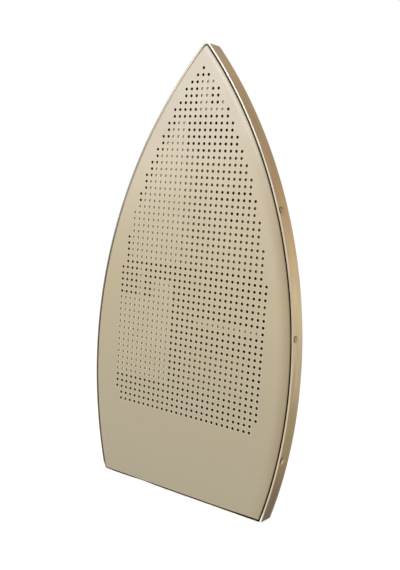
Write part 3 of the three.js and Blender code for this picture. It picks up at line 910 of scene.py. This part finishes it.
SPLICE_HALF_LENGTH = 14
SPLICE_FRONT = 3
SPLICE_BACK = 8
SPLICE_SHEET = 0.8
SPLICE_LOW_Z = 2.2

splice_outline = []
for cx, cy, start in ((SPLICE_HALF_LENGTH - 1, SPLICE_BACK - 1, 0.0),
                      (1 - SPLICE_HALF_LENGTH, SPLICE_BACK - 1, 0.5 * pi),
                      (1 - SPLICE_HALF_LENGTH, SPLICE_FRONT + 1, pi),
                      (SPLICE_HALF_LENGTH - 1, SPLICE_FRONT + 1, 1.5 * pi)):
    splice_outline += arc_points(cx, cy, 1, start, start + pi / 2, 5)
splice_points, splice_faces = build_plate(
    splice_outline, None, SPLICE_LOW_Z, SPLICE_LOW_Z + SPLICE_SHEET, 0.12)
splice_points = [(SEAM_X + across, depth_to_y(depth), z) for across, z, depth in splice_points]
heel_splice = make_piece("heel_splice_plate", splice_points, splice_faces)
heel_splice.data.materials.append(dull_aluminium)
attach(heel_splice, "shoe")
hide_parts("heel_splice")


# ---- Rivets ----
# Small zinc-plated steel rivets. The six in the sides have low domed heads outside; the two
# in the heel are countersunk, so that the shoe can stand on it.

RIVET_RADIUS = 0.9
RIVET_HEAD_RADIUS = 1.6
RIVET_HEAD_HEIGHT = 0.45
RIVET_SEAT_GAP = 0.1
RIVET_SIDES = 32
HEEL_RIVET_DEPTH = 5.2
HEEL_RIVET_SPREAD = 9
ANCHOR_INSET = 3.5
ANCHOR_SHEET = 0.8


def domed_head(seat, outwards):
    """Radius and height pairs from the shank to the top of a domed head."""
    steps = [i / 6 for i in range(7)]
    dome = [(RIVET_HEAD_RADIUS * cos(t * pi / 2),
             seat + outwards * (0.1 + (RIVET_HEAD_HEIGHT - 0.2) * sin(t * pi / 2)))
            for t in steps[:-1]]
    return [(RIVET_RADIUS, seat), (RIVET_HEAD_RADIUS, seat)] + dome


def rivet_rings(stack, domed):
    """Rings round +Y, from the tail behind the stack of sheets to the head at y = 0."""
    tail = list(reversed(domed_head(-stack - RIVET_SEAT_GAP, -1)))
    if domed:
        profile = tail + domed_head(RIVET_SEAT_GAP, 1)
    else:
        profile = tail + [(RIVET_RADIUS, -0.2), (RIVET_RADIUS - 0.1, -0.1)]
    return [[(radius * cos(a), height, radius * sin(a))
             for a in turns(RIVET_SIDES)]
            for radius, height in profile]


def placed(rings, matrix):
    return [[tuple(matrix @ Vector(point)) for point in ring] for ring in rings]


def side_matrix(z, hand, depth):
    """Turns +Y into the outward normal of a side wall at height z."""
    x, height, angle = side_spot(z, 0)
    turn = Matrix.Rotation(-angle, 4, "Y") @ Matrix.Rotation(-pi / 2, 4, "Z")
    right = Matrix.Translation((x, depth_to_y(depth), height)) @ turn
    return right if hand > 0 else Matrix.Scale(-1, 4, (1, 0, 0)) @ right


def worn_steel(name, tint, stain, cloud, grain, pits, gloss, bump):
    """Bare or plated steel: two tones in clouds, dark pits, and gloss between two limits."""
    material, tree, shader = new_material(name, 1.0)
    age = use_group(tree, patina, Cloud=cloud, Grain=grain)
    body = mixed(tree, age.outputs["Clouds"], tint, stain)
    body = mixed(tree, times(tree, age.outputs["Speck"], pits), body, colour(118, 106, 90))
    connect(tree, shader, Base_Color=body,
            Roughness=ranged(tree, age.outputs["Speck"], 0.0, 1.0, *gloss),
            Normal=bumped(tree, age.outputs["Height"], bump, 0.0001))
    return material


PLATING = {"cloud": 160.0, "grain": 3000.0, "pits": 0.3, "gloss": (0.28, 0.42), "bump": 0.2}
zinc = worn_steel("plated_steel", colour(192, 170, 140), colour(156, 136, 108), **PLATING)
clean_zinc = worn_steel("clean_plated_steel", colour(204, 204, 200), colour(180, 179, 172),
                        **PLATING)


def finish_rivet(rivet, node, body):
    rivet.data.materials.append(zinc)
    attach(rivet, body)
    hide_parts(node)


strip_stack = STRIP_INSET + STRIP_SHEET
anchor_stack = ANCHOR_INSET + ANCHOR_SHEET
for side, hand in HANDS:
    for number, rivet_z in enumerate(SIDE_RIVET_Z, 1):
        rings = rivet_rings(anchor_stack if number == 2 else strip_stack, True)
        rivet = loft(f"side_rivet_head_{side}_{number}",
                     placed(rings, side_matrix(rivet_z, hand, SIDE_RIVET_DEPTH)))
        finish_rivet(rivet, f"side_rivet_{side}_{number}", "shoe")
for number, reach in enumerate((-HEEL_RIVET_SPREAD, HEEL_RIVET_SPREAD), 1):
    down = (Matrix.Translation((SEAM_X + reach, depth_to_y(HEEL_RIVET_DEPTH), 0))
            @ Matrix.Rotation(-pi / 2, 4, "X"))
    rivet = loft(f"heel_rivet_head_{number}",
                 placed(rivet_rings(SPLICE_LOW_Z + SPLICE_SHEET, False), down))
    finish_rivet(rivet, f"heel_rivet_{number}", "shoe")


# ---- Spring anchors ----
# Two ears stamped from plated steel sheet, held by the middle pair of side rivets. Each has
# a round eye behind the frame for the hook of its spring.

ANCHOR_HOLE_RADIUS = 1.7
ANCHOR_HOLE_DROP = 9.5
SWING_DEPTH = 12
ANCHOR_CORNER = 0.8


def rounded_corners(corners, radius):
    """A closed loop with each corner rounded, as a press tool leaves it."""
    loop = []
    corners = [Vector(corner) for corner in corners]
    for i, here in enumerate(corners):
        start = here + (corners[i - 1] - here).normalized() * radius
        end = here + (corners[(i + 1) % len(corners)] - here).normalized() * radius
        loop += [curve_spot(start, here, end, n / 5) for n in range(6)]
    return loop


def build_anchor(name, hand):
    ear = OVERALL_DEPTH - SWING_DEPTH
    hole_across = SWING_DEPTH - SIDE_RIVET_DEPTH
    back = OVERALL_DEPTH - SIDE_RIVET_DEPTH
    upper = rounded_corners([(back, -5), (3.2, 4), (-1.4, 4), (-1.4, -4)], ANCHOR_CORNER)
    lobe = arc_points(hole_across, -ANCHOR_HOLE_DROP, ear, pi, 2 * pi, 24)
    hole = arc_points(hole_across, -ANCHOR_HOLE_DROP, ANCHOR_HOLE_RADIUS, 2 * pi, 0, 28)[:-1]
    points, faces = build_plate(lobe + upper, hole,
                                -ANCHOR_SHEET / 2, ANCHOR_SHEET / 2, 0.12)
    x, height, angle = side_spot(SIDE_RIVET_Z[1], ANCHOR_INSET + ANCHOR_SHEET / 2)
    lean = Matrix.Rotation(-angle, 4, "Y")
    shaped = []
    for across, thick, up in points:
        leaned = lean @ Vector((thick, across, up))
        shaped.append((hand * (x + leaned.x), depth_to_y(SIDE_RIVET_DEPTH) + leaned.y,
                       height + leaned.z))
    return make_piece(name, shaped, faces)


for side, hand in HANDS:
    anchor = build_anchor(f"spring_anchor_ear_{side}", hand)
    anchor.data.materials.append(clean_zinc)
    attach(anchor, "shoe")
    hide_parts(f"spring_anchor_{side}")


# ---- Heel springs ----
# Two tension springs wound from 1 mm music wire. The upper end is hooked through the anchor's
# eye, the lower end is a round loop through the eye of the bail. They lie slightly open.

SPRING_X = 55
SPRING_RADIUS = 2.5
SPRING_WIRE_RADIUS = 0.5
SPRING_PITCH = 1.6
SPRING_TURNS = 18
SPRING_LOW_Z = 48.5
SPRING_LOOP_RADIUS = 2.4
BAIL_EYE_Z = 41.5


def smooth_path(knots, steps):
    """Points on a smooth line through the knots."""
    knots = [Vector(knot) for knot in knots]
    padded = [2 * knots[0] - knots[1]] + knots + [2 * knots[-1] - knots[-2]]
    path = []
    for a, b, c, d in zip(padded, padded[1:], padded[2:], padded[3:]):
        for n in range(steps):
            t = n / steps
            path.append(0.5 * (2 * b + (c - a) * t + (2 * a - 5 * b + 4 * c - d) * t ** 2
                               + (3 * b - a - 3 * c + d) * t ** 3))
    return path + [knots[-1]]


def wire_rings(path, radius_at, sides):
    """Round rings along a path, carried without twist, with the two ends rounded off."""
    rings = []
    tangent = (path[1] - path[0]).normalized()
    across = tangent.orthogonal().normalized()
    for i, here in enumerate(path):
        before, after = path[max(i - 1, 0)], path[min(i + 1, len(path) - 1)]
        tangent = (after - before).normalized()
        across = (across - tangent * across.dot(tangent)).normalized()
        other = tangent.cross(across)
        radius = radius_at(i / (len(path) - 1))
        rings.append([tuple(here + (across * cos(a) + other * sin(a)) * radius)
                      for a in turns(sides)])
    for end, neighbour in ((0, 1), (-1, -2)):
        outward = (path[end] - path[neighbour]).normalized()
        radius = radius_at(0 if end == 0 else 1)
        cap = [[tuple(path[end] + (Vector(p) - path[end]) * scale + outward * radius * push)
                for p in rings[end]] for scale, push in ((0.8, 0.3), (0.4, 0.45))]
        rings = list(reversed(cap)) + rings if end == 0 else rings + cap
    return rings


def spring_path(hand):
    anchor_x, anchor_z, lean = side_spot(SIDE_RIVET_Z[1], ANCHOR_INSET + ANCHOR_SHEET / 2)
    eye_x = anchor_x + ANCHOR_HOLE_DROP * sin(lean)
    eye_z = anchor_z - ANCHOR_HOLE_DROP * cos(lean)
    knots = []
    loop_z = BAIL_EYE_Z + 0.5 + SPRING_LOOP_RADIUS
    for i in range(15):
        angle = pi * (0.62 + 1.78 * i / 14)
        knots.append((SPRING_X + SPRING_LOOP_RADIUS * cos(angle), SWING_DEPTH,
                      loop_z + SPRING_LOOP_RADIUS * sin(angle)))
    per_turn = 12
    for i in range(SPRING_TURNS * per_turn + 1):
        angle = 2 * pi * i / per_turn
        knots.append((SPRING_X + SPRING_RADIUS * cos(angle),
                      SWING_DEPTH + SPRING_RADIUS * sin(angle),
                      SPRING_LOW_Z + SPRING_PITCH * i / per_turn))
    top = SPRING_LOW_Z + SPRING_PITCH * SPRING_TURNS
    knots += [(SPRING_X + 1, SWING_DEPTH + 1, top + 1.2),
              (SPRING_X + 0.5, SWING_DEPTH, (top + eye_z) / 2 + 0.6),
              (eye_x - 2, SWING_DEPTH, eye_z - 0.1),
              (eye_x, SWING_DEPTH, eye_z + 0.3),
              (eye_x + 1.6, SWING_DEPTH, eye_z - 0.6),
              (eye_x + 1.9, SWING_DEPTH, eye_z - 2.6)]
    return smooth_path([(hand * x, depth_to_y(depth), z) for x, depth, z in knots], 2)


DRAWN_WIRE = {"cloud": 120.0, "grain": 4000.0, "pits": 0.0, "gloss": (0.2, 0.36), "bump": 0.1}
music_wire = worn_steel("music_wire", colour(168, 166, 164), colour(132, 126, 120), **DRAWN_WIRE)
for side, hand in HANDS:
    spring = loft(f"heel_spring_coil_{side}",
                  wire_rings(spring_path(hand), lambda t: SPRING_WIRE_RADIUS, 10))
    spring.data.materials.append(music_wire)
    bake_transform(spring)
    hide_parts(f"heel_spring_{side}")


# ---- Heel bail ----
# One length of 2 mm spring wire bent to a U. Each end is curled into a closed eye, pressed
# slightly thinner, for the loop of its spring.

BAIL_WIRE_RADIUS = 1
BAIL_Z = 24
BAIL_BEND_RADIUS = 9
BAIL_EYE_BEND = 2.2
BAIL_EYE_WIRE = 0.78
EYE_SHARE = 0.34


def bail_path():
    """From the end of the right eye down its leg and across to the middle."""
    eye = [(SPRING_X, SWING_DEPTH + BAIL_EYE_BEND * cos(a), BAIL_EYE_Z + BAIL_EYE_BEND * sin(a))
           for a in [radians(-52 + 12 * i) for i in range(23)]]
    leg = [(SPRING_X, SWING_DEPTH - ahead, BAIL_EYE_Z - drop)
           for ahead, drop in ((1.75, 1.9), (0.75, 3.4), (0, 5))]
    bend = [(x, SWING_DEPTH, z) for x, z in arc_points(
        SPRING_X - BAIL_BEND_RADIUS, BAIL_Z + BAIL_BEND_RADIUS, BAIL_BEND_RADIUS, 0, -pi / 2, 12)]
    cross = [(x, SWING_DEPTH, BAIL_Z) for x in (36, 24, 12)]
    half = eye + leg + bend + cross
    mirrored = [(-x, depth, z) for x, depth, z in reversed(half)]
    return smooth_path([(x, depth_to_y(depth), z) for x, depth, z in half
                        + [(0, SWING_DEPTH, BAIL_Z)] + mirrored], 3)


def bail_radius(t):
    from_end = min(t, 1 - t)
    thick = clamp((from_end - EYE_SHARE) / 0.06)
    return BAIL_EYE_WIRE + (BAIL_WIRE_RADIUS - BAIL_EYE_WIRE) * thick


bail = loft("heel_bail_wire", wire_rings(bail_path(), bail_radius, 16))
bail.data.materials.append(
    worn_steel("bail_wire", colour(186, 184, 180), colour(150, 146, 140), **DRAWN_WIRE))
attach(bail, "bail")
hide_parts("heel_bail")


# ---- Pull tab ----
# Strap of brown harness leather folded round the cross wire. Its two halves are glued and
# held by one rivet. The cut edges are painted darker and a crease runs along each side.

TAB_HALF_WIDTH = 8
TAB_LEATHER = 1.12
TAB_GLUE = 0.12
TAB_LOW_Z = 5
TAB_RIVET_Z = 17.5
TAB_FOLD_RADIUS = 1.92
TAB_CREASE_IN = 1.3


def tab_line():
    """The fold seen from the side: depth and height along the middle of the leather."""
    half = 0.62
    side = [(-half, z) for z in (TAB_LOW_Z + 0.6, 9, 13, 17, 19.5)]
    fold = [(TAB_FOLD_RADIUS * cos(a), BAIL_Z + TAB_FOLD_RADIUS * sin(a))
            for a in [radians(218 - 25.6 * i) for i in range(11)]]
    knots = side + fold + [(-y, z) for y, z in reversed(side)]
    return smooth_path([(0, y, z) for y, z in knots], 4)


def build_tab():
    path = tab_line()
    rings = []
    steps_across = 18
    for i, here in enumerate(path):
        along = (path[min(i + 1, len(path) - 1)] - path[max(i - 1, 0)]).normalized()
        out = Vector((0, -along.z, along.y))
        tip_distance = max(0.0, here.z - TAB_LOW_Z - 0.6)
        narrow = 0.9 * max(0.0, 1 - tip_distance / 3.0) ** 2
        half_width = TAB_HALF_WIDTH - 0.1 - narrow
        half_thick = TAB_LEATHER / 2
        ring = []
        for face in (1, -1):
            for n in range(steps_across + 1):
                x = face * half_width * (1 - 2 * n / steps_across)
                edge = half_width - abs(x)
                rounding = 0.3 * max(0.0, 1 - edge / 0.5) ** 2
                crease = 0.1 * exp(-(((edge - TAB_CREASE_IN) / 0.35) ** 2)) if face > 0 else 0
                thick = half_thick - rounding - crease
                ring.append(Vector((x, 0, 0)) + here + out * face * thick)
        rings.append([(p.x, depth_to_y(SWING_DEPTH) + p.y, p.z) for p in ring])
    return loft("pull_tab_strap", rings, sharp_angle=60)


def harness_leather():
    material, tree, shader = new_material("harness_leather", 0.0)
    across, _, up = object_axes(tree)
    age = use_group(tree, patina, Cloud=90.0, Grain=1400.0)
    body = mixed(tree, age.outputs["Clouds"], colour(138, 90, 52), colour(104, 64, 34))
    body = mixed(tree, times(tree, age.outputs["Speck"], 0.35),
                 body, colour(70, 42, 24))
    reach = arithmetic(tree, "ABSOLUTE", across, 0.0)
    painted = ranged(tree, reach, (TAB_HALF_WIDTH - 0.55) * MM, (TAB_HALF_WIDTH - 0.25) * MM,
                     0.0, 0.8)
    body = mixed(tree, painted, body, colour(52, 32, 20))
    pores = place(tree, "TexVoronoi", {"Vector": place(tree, "TexCoord").outputs["Object"],
                                       "Scale": 1500.0}, feature="DISTANCE_TO_EDGE").outputs[0]
    pores = ranged(tree, pores, 0.0, 0.25)
    connect(tree, shader, Base_Color=body,
            Roughness=ranged(tree, age.outputs["Clouds"], 0.0, 1.0, 0.5, 0.66),
            Normal=bumped(tree, pores, 0.35, 0.0002))
    return material


tab = build_tab()
tab.data.materials.append(harness_leather())
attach(tab, "tab")
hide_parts("pull_tab")

tab_rivet_place = Matrix.Translation(
    (0, depth_to_y(SWING_DEPTH) + TAB_LEATHER + TAB_GLUE / 2, TAB_RIVET_Z))
tab_rivet = loft("tab_rivet_head",
                 placed(rivet_rings(2 * TAB_LEATHER + TAB_GLUE, True), tab_rivet_place))
finish_rivet(tab_rivet, "tab_rivet", "tab")


# ---- Floor, light and camera ----
# White paper floor that runs out into a white room, a broad soft light above the toe, a weaker
# one from the right and one from behind. The camera stands to the right of the sole, slightly above
# it.

FLOOR_RADIUS = 1.4
FLOOR_FADE = 0.5
FLOOR_SIDES = 64

floor_points = [(0, 0, 0)] + [(FLOOR_RADIUS / MM * cos(a), FLOOR_RADIUS / MM * sin(a), 0)
                              for a in turns(FLOOR_SIDES)]
floor = make_piece("floor", floor_points, [(0, 1 + i, 1 + (i + 1) % FLOOR_SIDES)
                                           for i in range(FLOOR_SIDES)])
floor_paper = bpy.data.materials.new("white_paper")
floor_paper.use_nodes = True
tree = floor_paper.node_tree
tree.nodes.clear()
away = place(tree, "VectorMath", {0: place(tree, "TexCoord").outputs["Object"]}, operation="LENGTH")
fade = ranged(tree, away.outputs["Value"], FLOOR_FADE, FLOOR_RADIUS * 0.95)
paper = place(tree, "BsdfDiffuse", {"Color": (0.3, 0.3, 0.3, 1)})
glow = place(tree, "Emission", {"Color": (1, 1, 1, 1), "Strength": 0.85})
lit = place(tree, "AddShader", {0: paper.outputs[0], 1: glow.outputs[0]})
clear = place(tree, "BsdfTransparent")
faded = place(tree, "MixShader", {0: fade, 1: lit.outputs[0], 2: clear.outputs[0]})
place(tree, "OutputMaterial", {0: faded.outputs[0]})
floor.data.materials.append(floor_paper)

room = bpy.data.worlds.new("white_room")
room.use_nodes = True
tree = room.node_tree
tree.nodes.clear()
seen = place(tree, "Background", {"Color": (1, 1, 1, 1), "Strength": 1.0})
lighting = place(tree, "Background", {"Color": (1.0, 0.99, 0.97, 1), "Strength": 0.55})
straight_view = place(tree, "LightPath").outputs["Is Camera Ray"]
both = place(tree, "MixShader", {0: straight_view, 1: lighting.outputs[0], 2: seen.outputs[0]})
place(tree, "OutputWorld", {0: both.outputs[0]})
bpy.context.scene.world = room


def add_soft_light(name, place_at, aim, size, power, tint):
    lamp = bpy.data.lights.new(name, "AREA")
    lamp.shape = "DISK"
    lamp.size = size
    lamp.energy = power
    lamp.color = tint
    light = bpy.data.objects.new(name, lamp)
    light.location = place_at
    light.rotation_euler = (Vector(aim) - Vector(place_at)).to_track_quat("-Z", "Y").to_euler()
    bpy.context.scene.collection.objects.link(light)


add_soft_light("key_light", (-0.05, -0.5, 0.6), (0, 0, 0.16), 0.4, 2.6, (1.0, 0.98, 0.96))
add_soft_light("side_light", (0.9, -0.1, 0.5), (0, 0, 0.1), 0.6, 2.0, (1.0, 0.95, 0.9))
add_soft_light("back_light", (0.75, 1.05, 0.2), (0.06, 0, 0.12), 1.0, 1.2, (1.0, 0.95, 0.87))

CAMERA_PLACE = (0.2414, -0.3165, 0.1540)
CAMERA_TURN = 36.14
CAMERA_DIP = 8.89
CAMERA_ROLL = 4.04

view = bpy.data.cameras.new("camera")
view.lens = 49.57
view.sensor_width = 36
view.shift_x = -0.0204
view.shift_y = 0.0651
view.clip_start = 0.01
camera = bpy.data.objects.new("camera", view)
camera.matrix_world = (Matrix.Translation(CAMERA_PLACE)
                       @ Matrix.Rotation(radians(CAMERA_TURN), 4, "Z")
                       @ Matrix.Rotation(radians(90 - CAMERA_DIP), 4, "X")
                       @ Matrix.Rotation(radians(CAMERA_ROLL), 4, "Z"))
bpy.context.scene.collection.objects.link(camera)
bpy.context.scene.camera = camera
bpy.context.scene.view_settings.view_transform = "Standard"
